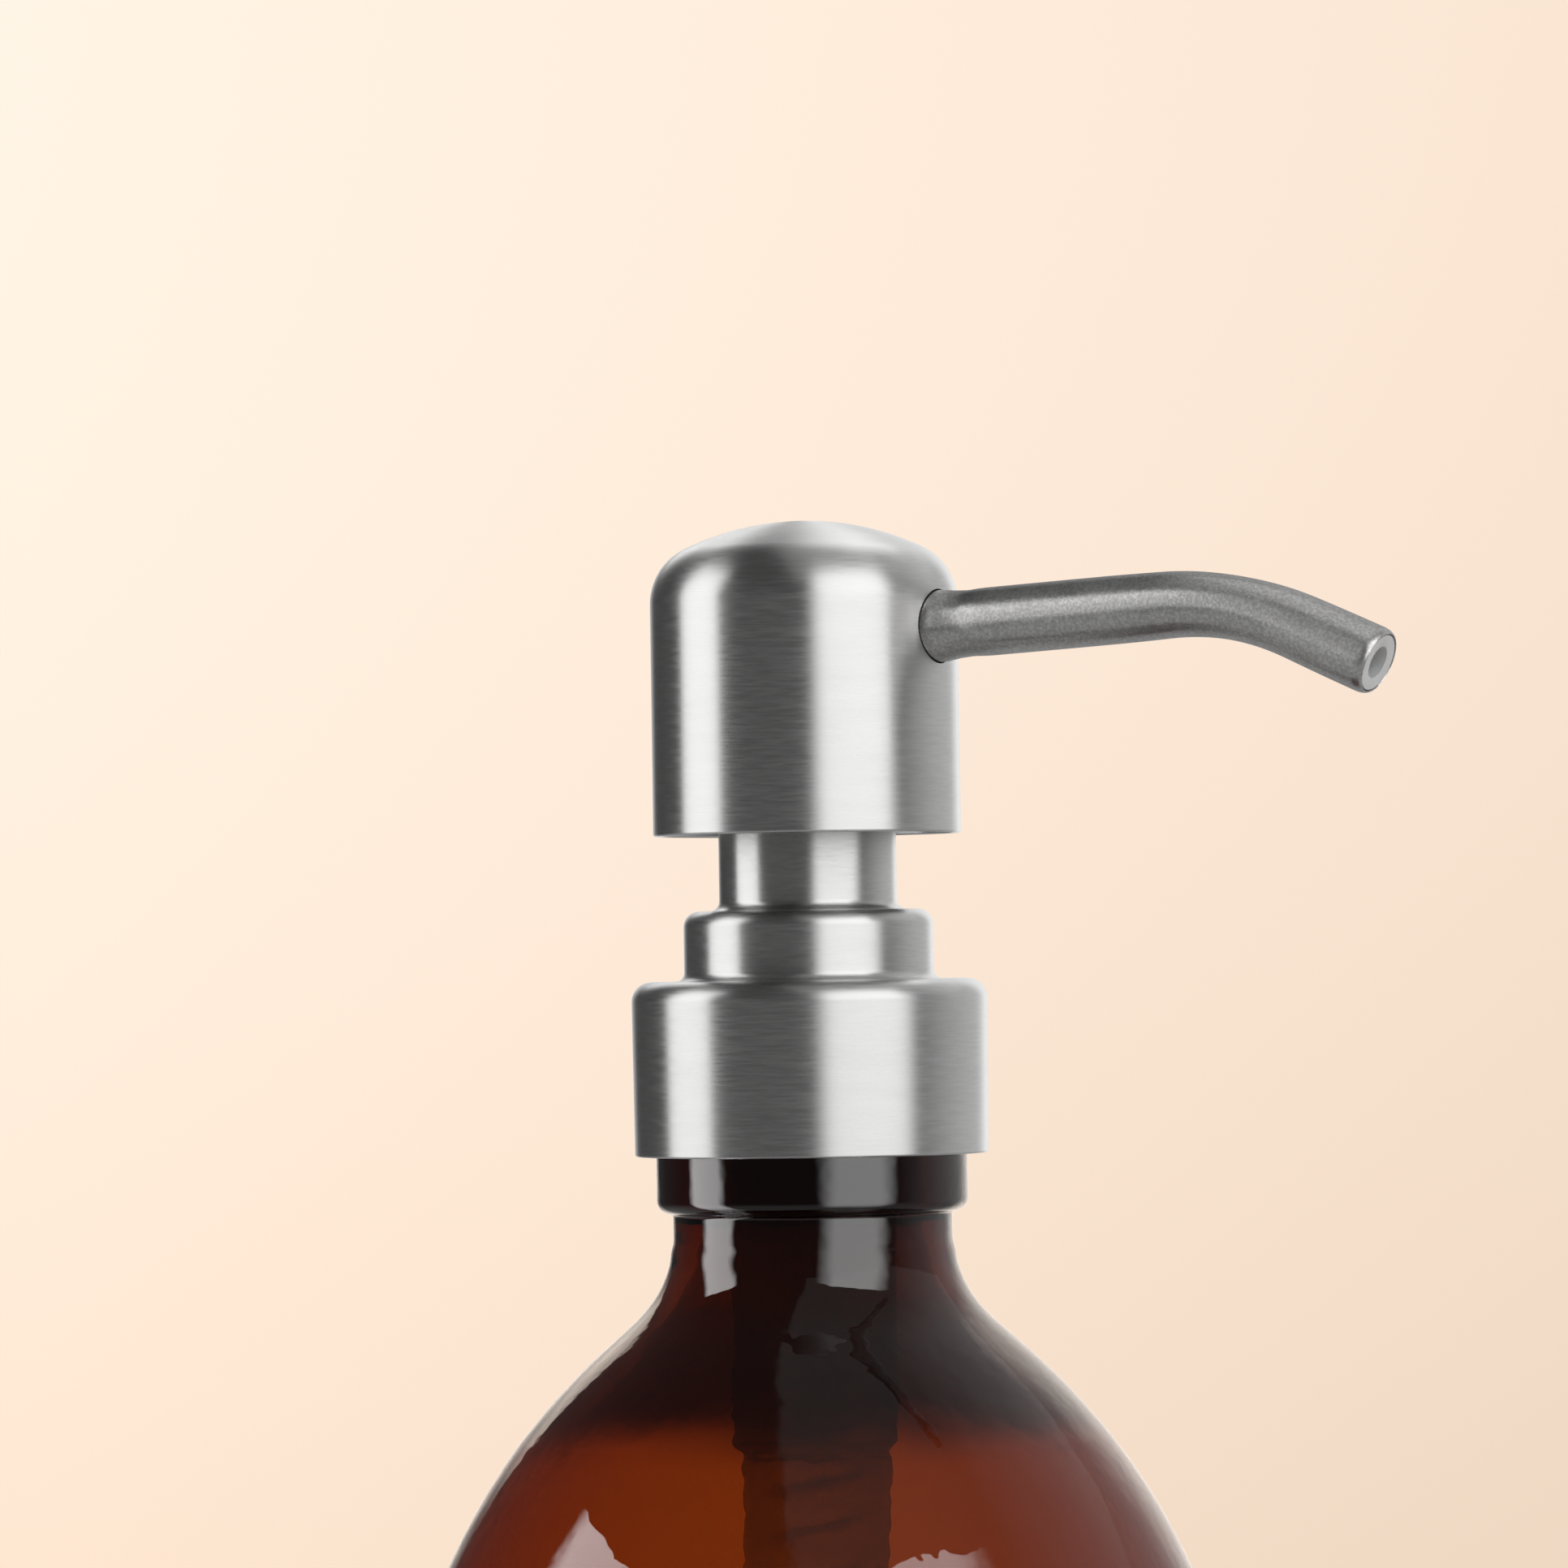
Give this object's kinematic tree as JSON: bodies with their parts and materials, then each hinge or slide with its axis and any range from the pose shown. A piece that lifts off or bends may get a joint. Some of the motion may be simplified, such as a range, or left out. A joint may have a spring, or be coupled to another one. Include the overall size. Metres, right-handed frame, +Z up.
{
  "type": "soap pump dispenser",
  "caption": "Refillable soap dispenser: a brushed-steel lotion pump with a bent spout, screwed onto a round amber glass bottle.",
  "frame": {"origin": "centre of the bottle's base, at the level of the surface that it stands on", "axes": "+Z up along the axis of the bottle and the pump, +X the way the spout points"},
  "size_m": [0.0967, 0.077, 0.2221],
  "materials": {
    "amber_glass": "polished, brown-amber tint",
    "brushed_steel": "fine brushing round the axis",
    "satin_steel": "bead-blasted satin",
    "spring_steel": "bright drawn wire",
    "white_plastic": "natural white polypropylene",
    "clear_plastic": "milky translucent polyethylene",
    "gasket_rubber": "matte"
  },
  "bodies": {
    "bottle": {"bottle": "amber_glass"},
    "pump_unit": {"pump_housing": "white_plastic", "chaplet": "white_plastic", "bottle_gasket": "gasket_rubber", "dip_tube": "clear_plastic", "ball_retainer": "white_plastic", "return_spring": "spring_steel"},
    "collar": {"collar_shell": "brushed_steel", "collar_insert": "white_plastic"},
    "piston": {"piston": "clear_plastic"},
    "head": {"head_shell": "brushed_steel", "head_core": "white_plastic", "spout_tube": "satin_steel", "spout_liner": "clear_plastic", "spout_seal": "gasket_rubber", "stem": "white_plastic", "piston_rod": "white_plastic"},
    "inlet_ball": {"inlet_ball": "spring_steel"}
  },
  "joints": [
    {"name": "pump_lift", "type": "slide", "parent": "bottle", "child": "pump_unit", "axis": [0, 0, 1], "range_m": [0, 0.0085]},
    {"name": "collar_turn", "type": "hinge", "parent": "pump_unit", "child": "collar", "pos_m": [0, 0, 0.176], "axis": [0, 0, 1], "range_deg": [0, 730]},
    {"name": "head_press", "type": "slide", "parent": "pump_unit", "child": "piston", "axis": [0, 0, 1], "range_m": [-0.0125, 0], "stiffness_N_per_m": 500, "springref_m": 0.012, "deforming": ["return_spring"]},
    {"name": "head_swivel", "type": "hinge", "parent": "piston", "child": "head", "pos_m": [0, 0, 0.176], "axis": [0, 0, 1], "continuous": true},
    {"name": "inlet_ball_lift", "type": "slide", "parent": "pump_unit", "child": "inlet_ball", "axis": [0, 0, 1], "range_m": [0, 0.0014]}
  ],
  "couplings": [
    {"joint": "collar_turn", "follows": "pump_lift", "rad_per_m": 1485.4}
  ]
}
